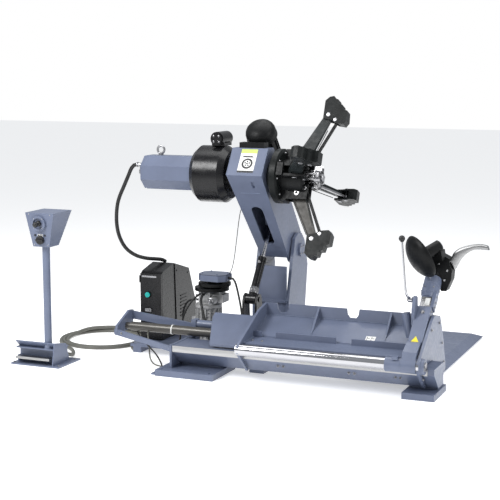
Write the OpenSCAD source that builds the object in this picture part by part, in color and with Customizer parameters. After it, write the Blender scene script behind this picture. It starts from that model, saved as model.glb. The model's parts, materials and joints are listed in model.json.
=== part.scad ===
// Truck-type electro-hydraulic tyre changer: a fixed base with a tilting boom
// and self-centring chuck, a sliding tool carriage, and a free-standing console.
// Millimetres, +Z up, X along the front beam, the operator stands at -Y.

/* [Base] */
// Left end of the front beam
beam_x0 = -767; // [-800:1:-740]
// Right end of the front beam
beam_x1 = 935; // [900:1:980]
// Height of the top of the front beam
beam_top = 187; // [180:1:195]
// Thickness of the foot plates
foot_t = 40; // [25:1:44]
// Radius of the floor anchor holes
anchor_r = 9; // [6:0.5:12]

/* [Carriage] */
// Radius of the chromed guide bar
bar_r = 36.5; // [30:0.5:38]
// Distance of the guide bar's axis from the origin plane, along Y
bar_y = 58; // [54:1:60]
// Height of the guide bar's axis
bar_z = 210; // [205:1:216]
// Bore of the upright tool socket, radius
socket_r = 16; // [12:0.5:20]

/* [Boom and chuck] */
// Height of the chuck's axis
axis_z = 1232; // [1220:1:1240]
// Distance of the chuck's axis along Y
axis_y = 700; // [690:1:710]
// Radius of the drive drum
drum_r = 188; // [180:1:192]
// Thickness of each clamping arm
arm_t = 28; // [20:1:34]

/* [Console] */
// Radius of the console's post
post_r = 25; // [20:1:30]
// Height of the console's lid at its front
lid_z = 1010; // [980:1:1040]

/* [Hidden] */
$fn = 64;
ox = 370.5;
oy = -905.155;
bx = -440;
pin_y = 1190;
pin_z = 680;
jack_y = 640;
jack_z = 417;
rod_y = 1000;
rod_z = 898;
jack_a = atan2(rod_z - jack_z, rod_y - jack_y);
arm_dir = [68, -22, 248, 158];
hub_x = -130;
piv_r = 120;
piv_x = -120;
tip_x = 20;
tip_r = 415;
str_dx = 50;
str_dr = -34;
head_t = 610;

blue = [0.36, 0.41, 0.50];
dark = [0.08, 0.08, 0.09];
bright = [0.8, 0.8, 0.82];

// A prism along X from x0 to x1 whose outline is given as [y, z] points.
module prism_x(x0, x1, pts)
    translate([x0, 0, 0]) rotate([90, 0, 90])
        linear_extrude(height = x1 - x0) polygon(pts);

// A prism along Y from y0 to y1 whose outline is given as [x, z] points.
module prism_y(y0, y1, pts)
    translate([0, y1, 0]) rotate([90, 0, 0])
        linear_extrude(height = y1 - y0) polygon(pts);

// A box from corner a to corner b.
module box(a, b) translate(a) cube(b - a);

// A cylinder along X.
module cyl_x(x0, x1, y, z, r) translate([x0, y, z]) rotate([0, 90, 0])
    cylinder(h = x1 - x0, r = r);

// A cylinder along Y.
module cyl_y(y0, y1, x, z, r) translate([x, y1, z]) rotate([90, 0, 0])
    cylinder(h = y1 - y0, r = r);

// A tube swept along a smooth curve through hand-placed points.
function unit(v) = v / norm(v);
function at(p, i) = p[max(0, min(len(p) - 1, i))];
function spl(a, b, c, d, t) = 0.5 * ((2 * b) + (c - a) * t
    + (2 * a - 5 * b + 4 * c - d) * t * t
    + (3 * b - a - 3 * c + d) * t * t * t);
function curve(p, n) = concat([for (i = [0:len(p) - 2]) for (k = [0:n - 1])
    spl(at(p, i - 1), at(p, i), at(p, i + 1), at(p, i + 2), k / n)],
    [p[len(p) - 1]]);
module hose(p, r, n, ref, sides = 8) {
    q = curve(p, n);
    m = len(q);
    ring = [for (i = [0:m - 1]) let (d = unit(at(q, i + 1) - at(q, i - 1)),
        u = unit(cross(d, ref)), v = cross(u, d))
        for (j = [0:sides - 1]) q[i] + r * (cos(j * 360 / sides) * u
            + sin(j * 360 / sides) * v)];
    polyhedron(ring, concat([[for (j = [sides - 1:-1:0]) j]],
        [for (i = [0:m - 2]) for (j = [0:sides - 1])
            [i * sides + j, i * sides + (j + 1) % sides,
             (i + 1) * sides + (j + 1) % sides, (i + 1) * sides + j]],
        [[for (j = [0:sides - 1]) (m - 1) * sides + j]]), convexity = 6);
}

// Everything is laid out from the machine's own datum and then moved so that
// the origin lies on the floor under the middle of the whole machine.
module place() translate([ox, oy, 0]) children();

// ---------------------------------------------------------------- fixed base
beam_pts = [[105, beam_top], [105, 150], [212, 52], [330, 52],
    [330, beam_top]];
beam_in = [[117, beam_top - 12], [117, 155], [217, 64], [318, 64],
    [318, beam_top - 12]];
module front_beam() place() color(blue) {
    difference() {
        prism_x(beam_x0, beam_x1, beam_pts);
        prism_x(beam_x0 + 12, beam_x1 - 12, beam_in);
        // holes that carry the rail screws
        for (x = [-60, -25, 400, 435]) for (z = [112])
            translate([x, 100, z]) rotate([-90, 0, 0]) cylinder(h = 80, r = 7);
    }
    // end plate that stands on the left foot
    box([beam_x0 - 14, 96, foot_t], [beam_x0, 336, beam_top + 4]);
}
module guide_strip() place() color(bright)
    box([beam_x0 + 4, 100, 146], [beam_x1 - 40, 105, 186]);

module foot(x0, x1, y0, y1) {
    difference() {
        box([x0, y0, 0], [x1, y1, foot_t]);
        children();
    }
}
module foot_plates() place() color(blue) {
    difference() {
        union() {
            box([-848, 20, 0], [-449, 380, foot_t]);
            box([-886, 40, 0], [-848, 200, 10]);
        }
        for (x = [-815, -485]) translate([x, 56, -1])
            cylinder(h = foot_t + 2, r = anchor_r);
    }
    box([-760, 225, foot_t], [-470, 325, 52]);
    box([746, 80, 0], [943, 371, foot_t]);
    box([765, 225, foot_t], [930, 325, 52]);
}
module base_frame() place() color(blue) difference() {
    union() {
        // two floor sills run back from the front beam
        box([-700, 380, 0], [-600, 1400, 44]);
        box([-330, 331, 0], [-230, 1400, 44]);
        box([-600, 960, 0], [-330, 1400, 44]);
        // rear guide tube on its two posts
        box([-781, 420, 44], [-748, 480, 292]);
        box([-781, 337, 44], [-767, 480, 180]);
        cyl_x(-781, 250, 450, 262, 26);
        box([-781, 380, 0], [-700, 480, 44]);
        // shelf that carries the cabinet and the power unit
        box([-1310, 560, 40], [-700, 1000, 60]);
        box([-1290, 560, 0], [-1230, 1000, 40]);
        box([-760, 560, 0], [-700, 1000, 40]);
        box([-781, 480, 0], [-700, 560, 60]);
    }
    for (x = [-650, -280]) for (y = [930, 1360])
        translate([x, y, -1]) cylinder(h = 60, r = anchor_r);
}
cheek = [[970, 44], [970, 335], [1050, 640], [1090, 770], [1150, 800],
    [1215, 795], [1275, 740], [1340, 560], [1300, 290], [1300, 44]];
module boom_pedestal() place() color(blue) {
    difference() {
        union() {
            prism_x(-574, -552, cheek);
            prism_x(-328, -306, cheek);
            box([-552, 978, 44], [-328, 992, 588]);
            box([-552, 1200, 44], [-328, 1214, 340]);
            box([-560, 958, 340], [-320, 978, 358]);
        }
        for (x = [-580, -334]) cyl_x(x, x + 34, pin_y, pin_z, 30);
    }
    cyl_x(-582, -298, pin_y, pin_z, 30);
    for (x = [-588, -306]) cyl_x(x, x + 14, pin_y, pin_z, 46);
}
module cylinder_bracket() place() color(blue) {
    // front arm, rear arm and the dark end plate between them
    prism_x(-1244, -1228, [[232, 186], [430, 205], [462, 262], [462, 320],
        [405, 326], [232, 250]]);
    bracket_arm([-1236, 240], [-783.2, 120.3], 190, 228, 142, 176);
    bracket_arm([-1236, 452], [-781, 452], 262, 316, 215, 262);
}
// A flat bar on edge from plan point a to plan point b.
module bracket_arm(a, b, za0, za1, zb0, zb1) {
    l = norm(b - a);
    w = atan2(b[1] - a[1], b[0] - a[0]);
    translate([a[0], a[1], 0]) rotate([0, 0, w]) translate([0, 8, 0])
        rotate([90, 0, 0]) linear_extrude(height = 16)
            polygon([[-18, za0], [l, zb0], [l, zb1], [-18, za1]]);
}
module traverse_barrel() place() color([0.25, 0.25, 0.27]) {
    difference() {
        union() {
            cyl_x(-1190, -560, 360, 229, 30);
            cyl_x(-584, -560, 360, 229, 33);
            cyl_x(-1228, -1190, 360, 229, 22);
        }
        cyl_x(-1150, -584, 360, 229, 20);
        cyl_x(-590, -550, 360, 229, 12.05);
    }
}
module lift_bracket() place() color(dark) {
    difference() {
        union() {
            for (x = [bx - 52, bx + 38])
                prism_x(x, x + 14, [[590, 56], [720, 56], [690, 400],
                    [670, 445], [640, 455], [610, 440], [596, 400]]);
            box([bx - 60, 580, 44], [bx + 60, 735, 58]);
            box([-600, 590, 0], [-330, 720, 44]);
        }
        cyl_x(bx - 60, bx + 60, jack_y, jack_z, 16);
    }
    cyl_x(bx - 58, bx + 58, jack_y, jack_z, 16);
}

// ------------------------------------------------- cabinet and power unit
cab_pts = [[716, 62], [716, 528], [730, 540], [896, 578], [1143, 508],
    [1320, 100], [1320, 62]];
module cabinet() place() color(dark) {
    difference() {
        prism_x(-1302, -1140, cab_pts);
        prism_x(-1296, -1146, [[712, 80], [712, 520], [890, 560], [1130, 495],
            [1290, 100], [1290, 80]]);
    }
    // side cover with the folded edge
    prism_x(-1140, -1134, [[930, 110], [905, 570], [1130, 500], [1290, 120]]);
    box([-1280, 740, 60], [-1162, 980, 62]);
}
module cabinet_door() place() color([0.11, 0.11, 0.12]) difference() {
    box([-1301, 700, 70], [-1141, 715, 526]);
    cyl_y(690, 720, -1240, 380, 13);
    box([-1294, 706, 78], [-1148, 716, 518]);
}
module push_button() place() color([0.1, 0.65, 0.6]) {
    cyl_y(690, 713, -1240, 380, 12.5);
    cyl_y(684, 692, -1240, 380, 18);
}
module power_motor() place() color([0.75, 0.75, 0.76]) {
    translate([-850, 850, 60]) cylinder(h = 16, r = 96);
    translate([-850, 850, 76]) cylinder(h = 240, r = 78);
    for (i = [0:17]) translate([-850, 850, 90]) rotate([0, 0, i * 20])
        translate([70, -3, 0]) cube([22, 6, 205]);
    translate([-850, 850, 300]) cylinder(h = 20, r = 92);
    box([-950, 800, 130], [-915, 900, 230]);
}
module valve_block() place() color([0.7, 0.7, 0.71]) {
    box([-905, 800, 321], [-795, 900, 352]);
    box([-895, 780, 352], [-810, 880, 420]);
    cyl_y(730, 790, -780, 360, 26);
    box([-810, 800, 340], [-720, 900, 395]);
    for (i = [0:2]) translate([-750, 815 + 32 * i, 395])
        cylinder(h = 24, r = 12);
}
module reservoir_cap() place() color([0.42, 0.47, 0.56]) {
    translate([-820, 840, 420]) cylinder(h = 22, r = 118);
    translate([-820, 840, 442]) cylinder(h = 12, r = 60);
    translate([-800, 840, 454]) cylinder(h = 20, r = 112);
    translate([-800, 840, 474]) cylinder(h = 14, r = 50);
    translate([-800, 840, 488]) linear_extrude(height = 46)
        polygon([[-104, -30], [-70, -78], [62, -88], [104, -50], [104, 50],
            [62, 88], [-70, 88], [-104, 50]]);
}

// ------------------------------------------------------------------- boom
boom_pts = [[500, 1245], [612, 1415], [712, 1415], [1300, 765], [1318, 690],
    [1290, 620], [1230, 580], [1150, 578], [1075, 612]];
boom_in = [[516, 1244], [619, 1401], [706, 1401], [1286, 758], [1304, 690],
    [1280, 631], [1226, 594], [1156, 592], [1085, 622]];
boom_front = [[-562, 1430], [-318, 1430], [-318, 1235], [-342, 560],
    [-538, 560], [-562, 1235]];
boom_fin = [[-550, 1430], [-330, 1430], [-330, 1235], [-354, 560],
    [-526, 560], [-550, 1235]];
module boom_arm() place() color(blue) {
    difference() {
        intersection() {
            prism_x(-600, -300, boom_pts);
            prism_y(400, 1400, boom_front);
        }
        intersection() {
            prism_x(-600, -300, boom_in);
            prism_y(400, 1400, boom_fin);
        }
        // long slot in the sloping front wall, above the lift cylinder
        translate([bx, 830, 881]) rotate([42.2, 0, 0]) {
            for (s = [-150, 150]) translate([0, 0, s]) rotate([90, 0, 0])
                cylinder(h = 120, r = 40, center = true);
            cube([80, 120, 300], center = true);
        }
        // lower end is open between the side walls, below and in front
        box([-526, 985, 540], [-354, 1420, 640]);
        cyl_x(-600, -300, pin_y, pin_z, 30.05);
        cyl_x(-570, -310, axis_y, axis_z, 57.05);
        translate([-400, 560, 1180]) rotate([47, 0, 0])
            cylinder(h = 60, r = 9, center = true);
    }
    difference() {
        union() {
            cyl_x(-540, -340, pin_y, pin_z, 52);
            for (x = [bx - 40, bx + 22])
                prism_x(x, x + 18, [[960, 940], [975, 870], [1030, 860],
                    [1080, 985], [1060, 1020]]);
        }
        cyl_x(-600, -300, pin_y, pin_z, 30.05);
        cyl_x(-600, -300, rod_y, rod_z, 12);
    }
    cyl_x(bx - 44, bx + 44, rod_y, rod_z, 12);
}
module drive_drum() place() color(dark) difference() {
    union() {
        translate([-849, axis_y, axis_z]) rotate([0, 90, 0])
            rotate_extrude(convexity = 4) polygon([[0, 0], [158, 0],
                [drum_r, 34], [drum_r, 208], [158, 246], [110, 246],
                [110, 287], [0, 287]]);
    }
    cyl_x(-862, -550, axis_y, axis_z, 58);
    // the drum is a shell round the shaft
    translate([-849, axis_y, axis_z]) rotate([0, 90, 0])
        rotate_extrude() polygon([[50, 22], [148, 22], [172, 42],
            [172, 200], [148, 228], [50, 228]]);
}
module oct(x0, x1, r) translate([x0, axis_y, axis_z]) rotate([0, 90, 0])
    rotate([0, 0, 22.5]) cylinder(h = x1 - x0, r = r, $fn = 8);
module actuator_housing() place() color(blue) {
    difference() {
        oct(-1215, -849, 122);
        cyl_x(-1200, -840, axis_y, axis_z, 96);
    }
    color(dark) oct(-1233, -1215, 118);
}
module union_elbow() place() color(bright) {
    cyl_x(-1252, -1233, axis_y, axis_z, 30);
    cyl_x(-1284, -1252, axis_y, axis_z, 20);
    translate([-1262, axis_y - 30, axis_z]) cylinder(h = 46, r = 14);
    box([-1276, axis_y - 44, axis_z - 14], [-1248, axis_y, axis_z + 14]);
    cyl_x(-1292, -1262, axis_y - 30, axis_z + 46, 13);
}
module eye_bolt() place() color([0.5, 0.5, 0.5]) {
    translate([-1130, axis_y, axis_z + 112.72]) cylinder(h = 16, r = 17);
    translate([-1130, axis_y, axis_z + 150]) rotate([90, 0, 0])
        rotate_extrude() translate([25, 0]) circle(r = 7.5);
}
// The spin motor lies along the back of the boom.
module along_boom() translate([-430, 750, 1525]) rotate([-137.8, 0, 0])
    children();
module spin_motor() place() color(dark) {
    along_boom() {
        cylinder(h = 60, r = 94);
        translate([0, 0, 60]) cylinder(h = 190, r = 82);
        translate([0, 0, 250]) cylinder(h = 40, r = 96);
        for (i = [0:11]) rotate([0, 0, i * 30]) translate([78, -3, 66])
            cube([12, 6, 180]);
    }
    intersection() {
        prism_x(-545, -335, [[690, 1440.5], [860, 1252], [1010, 1087],
            [1110, 1177], [870, 1440]]);
        translate([-430, 750, 1525]) rotate([-137.8, 0, 0])
            translate([-100, -140, 290]) cube([200, 280, 110]);
    }
    difference() {
        box([-520, 620, 1415], [-350, 700, 1450]);
        along_boom() cylinder(h = 100, r = 94.5);
    }
}
module aux_motor() place() color(dark) {
    cyl_y(640, 800, -690, 1467, 46);
    cyl_y(628, 640, -690, 1467, 40);
    box([-735, 660, 1420], [-645, 780, 1440]);
}

// ---------------------------------------------------------- lift cylinder
module along_jack() translate([bx, jack_y, jack_z])
    rotate([jack_a - 90, 0, 0]) children();
module lift_barrel() place() color(dark) difference() {
    union() {
        along_jack() translate([0, 0, 18]) cylinder(h = 282, r = 27);
        along_jack() translate([0, 0, 278]) cylinder(h = 30, r = 31);
        cyl_x(bx - 34, bx + 34, jack_y, jack_z, 34);
    }
    cyl_x(bx - 40, bx + 40, jack_y, jack_z, 16.05);
    along_jack() translate([0, 0, 60]) cylinder(h = 260, r = 11.55);
    along_jack() translate([0, 0, 60]) cylinder(h = 215, r = 20);
}
module lift_rod() place() color(bright) difference() {
    union() {
        along_jack() translate([0, 0, 200]) cylinder(h = 375, r = 11.5);
        along_jack() translate([0, 0, 200]) cylinder(h = 24, r = 19.6);
        cyl_x(bx - 16, bx + 16, rod_y, rod_z, 34);
    }
    cyl_x(bx - 40, bx + 40, rod_y, rod_z, 21);
}

// ------------------------------------------------------------------ chuck
// Turns the arm's own plane, radius along +Z, to the direction a.
module around(a) translate([0, axis_y, axis_z]) rotate([a - 90, 0, 0])
    children();
module spindle() place() color([0.35, 0.35, 0.36]) {
    cyl_x(-560, -318, axis_y, axis_z, 57);
    cyl_x(-317, -296, axis_y, axis_z, 112);
    difference() {
        translate([-296, axis_y, axis_z]) rotate([0, 90, 0])
            rotate_extrude(convexity = 4) polygon([[0, 0], [150, 0],
                [178, 18], [178, 56], [160, 66], [0, 66]]);
        cyl_x(-240, -229, axis_y, axis_z, 40);
    }
    cyl_x(-1195, -560, axis_y, axis_z, 50);
}
module chuck_block() place() color(dark) {
    difference() {
        union() {
            cyl_x(-230, -178, axis_y, axis_z, 112);
            for (a = arm_dir) around(a) {
                for (s = [-42, 26]) translate([-230, s, 60])
                    cube([180, 16, 100]);
                translate([-230, -42, 60]) cube([40, 84, 112]);
            }
        }
        for (a = arm_dir) around(a) {
            translate([piv_x, -46, piv_r]) rotate([-90, 0, 0])
                cylinder(h = 92, r = 14);
            translate([piv_x + str_dx, -46, piv_r + str_dr])
                rotate([-90, 0, 0]) cylinder(h = 92, r = 8);
        }
        cyl_x(-231, -140, axis_y, axis_z, 36.1);
    }
    for (a = arm_dir) around(a) {
        translate([piv_x, -46, piv_r]) rotate([-90, 0, 0])
            cylinder(h = 92, r = 14);
        translate([piv_x + str_dx, -46, piv_r + str_dr])
            rotate([-90, 0, 0]) cylinder(h = 92, r = 8);
    }
}
module chuck_hub() place() color([0.75, 0.75, 0.76]) {
    cyl_x(-215, 0, axis_y, axis_z, 36);
    cyl_x(-20, 22, axis_y, axis_z, 46);
    for (a = arm_dir) around(a) {
        translate([-16, -17, 30]) cube([34, 34, 36]);
    }
}
// One clamping arm: a tapering plate between its two pivots.
module chuck_arm(a) place() color([0.16, 0.17, 0.17]) around(a)
    difference() {
        union() {
            translate([0, 6, 0]) rotate([90, 0, 0])
                linear_extrude(height = arm_t) polygon([[piv_x - 46, 96],
                    [piv_x - 30, 160], [tip_x - 22, tip_r + 12],
                    [tip_x - 4, tip_r + 22], [tip_x + 16, tip_r + 4],
                    [tip_x + 14, tip_r - 30], [-62, 145], [piv_x + 22, 100],
                    [piv_x, 88]]);
        }
        translate([piv_x, -40, piv_r]) rotate([-90, 0, 0])
            cylinder(h = 80, r = 14.05);
        translate([tip_x, -40, tip_r]) rotate([-90, 0, 0])
            cylinder(h = 80, r = 10.05);
    }
// The parallel strut that keeps the jaw square to the axis.
module chuck_strut(a) place() color([0.55, 0.55, 0.56]) around(a) {
    ax = piv_x + str_dx;
    ar = piv_r + str_dr;
    bxx = tip_x + str_dx;
    br = tip_r + str_dr;
    l = norm([bxx - ax, br - ar]);
    g = atan2(br - ar, bxx - ax);
    difference() {
        union() {
            translate([ax, 0, ar]) rotate([0, -g, 0])
                translate([0, 9, -9]) cube([l, 12, 18]);
            for (p = [[ax, ar], [bxx, br]]) translate([p[0], 8, p[1]])
                rotate([-90, 0, 0]) cylinder(h = 14, r = 15);
        }
        for (p = [[ax, ar], [bxx, br]]) translate([p[0], 0, p[1]])
            rotate([-90, 0, 0]) cylinder(h = 30, r = 8.05);
    }
}
// The stepped jaw: two cheeks over the arm's tip and the strut's tip.
jaw_pts = [[tip_x - 34, tip_r - 26], [tip_x - 34, tip_r + 96],
    [tip_x - 8, tip_r + 122], [tip_x + 22, tip_r + 128],
    [tip_x + 34, tip_r + 108], [tip_x + 52, tip_r + 106],
    [tip_x + 58, tip_r + 74], [tip_x + 84, tip_r + 70],
    [tip_x + 90, tip_r + 38], [tip_x + 122, tip_r + 30],
    [tip_x + 126, tip_r - 36], [tip_x + 108, tip_r - 62],
    [tip_x + 60, tip_r - 56], [tip_x + 20, tip_r - 36]];
module chuck_jaw(a) place() color(dark) around(a) {
    ex = tip_x + str_dx;
    er = tip_r + str_dr;
    difference() {
        translate([0, 36, 0]) rotate([90, 0, 0]) linear_extrude(height = 72)
            polygon(jaw_pts);
        // gap for the arm's tip and for the strut's tip
        translate([tip_x - 60, -24, tip_r - 80]) cube([104, 47.5, 120]);
        translate([ex - 60, -24, er - 60]) cube([82, 47.5, 84]);
        translate([tip_x, -40, tip_r]) rotate([-90, 0, 0])
            cylinder(h = 80, r = 10);
        translate([ex, -40, er]) rotate([-90, 0, 0])
            cylinder(h = 80, r = 8);
    }
    translate([tip_x, -30, tip_r]) rotate([-90, 0, 0])
        cylinder(h = 60, r = 10);
    translate([ex, -30, er]) rotate([-90, 0, 0]) cylinder(h = 60, r = 8);
}
module chuck_arm_1() chuck_arm(arm_dir[0]);
module chuck_arm_2() chuck_arm(arm_dir[1]);
module chuck_arm_3() chuck_arm(arm_dir[2]);
module chuck_arm_4() chuck_arm(arm_dir[3]);
module chuck_strut_1() chuck_strut(arm_dir[0]);
module chuck_strut_2() chuck_strut(arm_dir[1]);
module chuck_strut_3() chuck_strut(arm_dir[2]);
module chuck_strut_4() chuck_strut(arm_dir[3]);
module chuck_jaw_1() chuck_jaw(arm_dir[0]);
module chuck_jaw_2() chuck_jaw(arm_dir[1]);
module chuck_jaw_3() chuck_jaw(arm_dir[2]);
module chuck_jaw_4() chuck_jaw(arm_dir[3]);

// --------------------------------------------------------------- carriage
// Outlines of the two end plates; each straddles the front beam.
end_l = [[25, 192], [25, 232], [66, 262], [375, 402], [512, 430], [512, 200],
    [334, 178], [334, 191], [101, 191], [97, 191], [97, 145], [128, 117],
    [192, 55], [180, 50], [150, 76]];
end_r = [[25, 182], [25, 232], [66, 262], [330, 440], [365, 454], [506, 430],
    [560, 340], [597, 271], [640, 160], [665, 90], [665, 60], [640, 50],
    [334, 50], [334, 191], [97, 191], [97, 145], [128, 117], [192, 55],
    [180, 50], [150, 74]];
module carriage_ends() place() color(blue) difference() {
    union() {
        prism_x(-292, -276, end_l);
        prism_x(846, 864, end_r);
        // wear pads that ride above the top of the beam
        box([-276, 130, beam_top + 4], [-150, 300, 233.8]);
        box([700, 130, beam_top + 4], [846, 300, 233.8]);
        // sleeve on the rear guide tube, and the cover over the cylinder
        difference() {
            cyl_x(-292, 140, 450, 262, 36);
            cyl_x(-300, 150, 450, 262, 26.05);
        }
        difference() {
            prism_y(130, 408, [[-495, 180], [-292, 180], [-292, 372],
                [-602, 372], [-602, 335]]);
            prism_x(-610, -290, [[120, 100], [120, 194], [420, 349],
                [420, 100]]);
            prism_x(-610, -290, [[120, 208], [420, 363], [420, 400],
                [120, 400]]);
        }
    }
    cyl_x(-300, -270, 450, 262, 26.05);
    for (x = [-293, 845]) cyl_x(x, x + 20, bar_y, bar_z, bar_r);
    cyl_x(-300, -270, 360, 229, 38);
}
module tray() place() color(blue) {
    difference() {
        union() {
            // shelf behind the guide bar, sloping floor and rear wall
            prism_x(-276, 846, [[104, 234], [104, 244], [268, 252],
                [268, 290], [280, 290], [280, 252], [500, 352],
                [500, 430], [512, 430], [512, 340], [284, 236]]);
        }
        // notches in the rear wall and in the front lip
        for (x = [-208, 262]) prism_y(490, 520, [[x, 440], [x + 8, 392],
            [x + 24, 372], [x + 64, 372], [x + 80, 392], [x + 88, 440]]);
        box([-220, 262, 253], [-124, 290, 300]);
        box([270, 262, 253], [373, 290, 300]);
    }
    // triangular ribs
    for (x = [74, 551]) prism_x(x, x + 12, [[300, 258], [384, 308],
        [500, 425], [500, 350]]);
    // lug for the end of the traverse rod
    difference() {
        prism_x(-60, -40, [[326, 205], [394, 205], [394, 288], [326, 257]]);
        cyl_x(-70, -30, 360, 229, 12);
    }
    // rear apron below the wall, over the platform
    box([300, 500, 50], [846, 512, 341]);
}
module guide_bar() place() color(bright) {
    cyl_x(-300, 872, bar_y, bar_z, bar_r);
    cyl_x(872, 892, bar_y, bar_z, 44);
    cyl_x(864, 872, bar_y, bar_z, 48);
}
module wheel_platform() place() color(blue) {
    difference() {
        union() {
            intersection() {
                prism_y(600, 1930, [[300, 12], [830, 12], [765, 48],
                    [300, 48]]);
                prism_x(290, 840, [[600, 12], [1930, 12], [1830, 48],
                    [600, 48]]);
            }
            box([340, 512, 60], [420, 700, 90]);
            box([640, 512, 60], [720, 700, 90]);
            box([340, 600, 48], [420, 700, 60]);
            box([640, 600, 48], [720, 700, 60]);
        }
        prism_y(590, 1815, [[312, 0], [760, 0], [740, 40], [312, 40]]);
    }
    for (y = [800, 1600]) for (x = [370, 690])
        translate([x, y, 0]) cylinder(h = 40, r = 22);
}
module traverse_rod() place() color(bright) {
    cyl_x(-640, -40, 360, 229, 12);
    cyl_x(-640, -612, 360, 229, 19.5);
    cyl_x(-40, -22, 360, 229, 18);
}
// --------------------------------------------------------------- tool arm
module slide_collar() place() color(blue) difference() {
    union() {
        cyl_x(655, 748, bar_y, bar_z, 44);
        box([700, 20, 246], [735, 60, 262]);
        box([662, 52, 248], [748, 98, 262]);
    }
    cyl_x(640, 760, bar_y, bar_z, bar_r + 0.05);
}
// Frame with +Z along the arm's own centre line.
module along_arm() translate([796, 150, 245]) rotate([-48, 0, 0]) children();
module tool_arm() place() color(blue) difference() {
    union() {
        cyl_x(749, 843, bar_y, bar_z, 45);
        prism_x(754, 838, [[16, 225], [100, 222], [101, 258], [235, 262],
            [206, 326], [150, 330], [60, 290]]);
        along_arm() translate([-44, -42, 75]) cube([88, 84, 270]);
        // ear of the hand lever, with its pin
        prism_x(738, 757, [[296, 402], [376, 474], [368, 560], [345, 573],
            [322, 562], [300, 500]]);
        cyl_x(704, 740, 345, 548, 8);
        // upright socket for spare tools, on a short web
        difference() {
            translate([724, 352, 300]) rotate([0, -12, 0])
                cylinder(h = 168, r = 26);
            translate([660, 300, 250]) cube([120, 120, 62]);
        }
        box([712, 346, 345], [757, 358, 430]);
    }
    cyl_x(740, 850, bar_y, bar_z, bar_r + 0.05);
    along_arm() translate([-34.3, -33.3, 100]) cube([68.6, 66.6, 400]);
    translate([724, 352, 300]) rotate([0, -12, 0])
        translate([0, 0, 50]) cylinder(h = 130, r = socket_r);
}
module arm_extension() place() color(bright) {
    along_arm() translate([-34, -33, 140]) cube([68, 66, 292]);
    color(blue) along_arm() rotate_extrude() polygon([[0, 430], [44, 430],
        [46, 456], [52, 460], [52, 470], [54, 472], [54, 514], [50, 518],
        [50, 524], [54, 528], [54, 584], [0, 584]]);
    // latch plate on the side of the inner tube
    color(blue) along_arm() translate([33, -36, 350]) cube([19, 60, 110]);
    along_arm() translate([0, 0, 584]) cylinder(h = 60, r = 28);
}
// Frame with +Z along the disc's own shaft, out of its domed face.
module disc_axis() translate([750, 460, 797]) rotate([0, 116.1, -138.2])
    children();
module tool_head() place() color(dark) difference() {
    union() {
        along_arm() translate([0, 0, 584.4]) cylinder(h = 79.6, r = 52);
        prism_y(575, 665, [[743, 798], [772, 811], [812, 811], [896, 772],
            [896, 742], [913, 700], [908, 640], [880, 572], [848, 570],
            [800, 665], [764, 738]]);
        prism_y(500, 600, [[770, 770], [775, 826], [860, 830], [870, 770]]);
        disc_axis() translate([0, 0, -136]) cylinder(h = 96, r = 38);
    }
    along_arm() translate([0, 0, 400]) cylinder(h = 184.4, r = 57);
    along_arm() translate([0, 0, 500]) cylinder(h = 145, r = 28.05);
    disc_axis() translate([0, 0, -129]) cylinder(h = 160, r = 16.05);
}
module bead_hook() place() color(bright) prism_y(605, 665,
    [[896.3, 742], [896.3, 770], [906, 800], [925, 822], [960, 842],
     [1020, 860], [1070, 866], [1115, 860], [1126, 830], [1075, 834],
     [1030, 828], [985, 800], [955, 765], [936, 730], [918.5, 702.5]]);
module breaker_disc() place() color(dark) disc_axis() {
    rotate_extrude(convexity = 4) polygon([[0, 70], [40, 67], [90, 52],
        [125, 28], [141, 4], [141, -4], [136, -6], [120, 16], [86, 38],
        [36, 52], [30, 52], [30, -20], [0, -20]]);
    translate([0, 0, -128]) cylinder(h = 112, r = 16);
}
module hand_lever() place() color(bright) {
    difference() {
        union() {
            cyl_x(706, 732, 345, 548, 17);
            hull() {
                translate([719, 345, 548]) sphere(r = 8, $fn = 24);
                translate([708, 312, 572]) sphere(r = 8, $fn = 24);
            }
        }
        cyl_x(690, 740, 345, 548, 8.05);
    }
    hull() {
        translate([708, 312, 572]) sphere(r = 8, $fn = 24);
        translate([700, 302, 596]) sphere(r = 8, $fn = 24);
    }
    hull() {
        translate([700, 302, 596]) sphere(r = 8, $fn = 24);
        translate([671, 300, 905]) sphere(r = 6.5, $fn = 24);
    }
    color(dark) translate([671, 300, 923]) sphere(r = 19);
}

// ---------------------------------------------------------------- console
module console_base() place() color(blue) difference() {
    union() {
        prism_y(-60, 220, [[-1867, 0], [-1504, 0], [-1504, 10],
            [-1867, 10]]);
        // folded guard over the pedal, and the shelf that carries the post
        prism_x(-1850, -1556, [[40, 10], [40, 112], [0, 150], [-20, 156],
            [-22, 148], [28, 104], [28, 10]]);
        prism_x(-1562, -1554, [[-50, 10], [160, 10], [120, 130], [-20, 156]]);
        box([-1850, -18, 104], [-1554, 150, 112]);
        box([-1850, 142, 10], [-1562, 150, 112]);
        // pin and lugs of the pedal
        cyl_x(-1850, -1562, 8, 42, 6);
        for (x = [[-1850, -1838], [-1578, -1562]])
            box([x[0], -4, 10], [x[1], 20, 54]);
    }
    for (x = [-1845, -1530]) translate([x, 190, -1])
        cylinder(h = 20, r = 6);
    translate([-1622, 12, 112]) cylinder(h = 100, r = post_r);
}
module console_post() place() color(blue)
    translate([-1622, 12, 112]) cylinder(h = 678, r = post_r);
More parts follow.
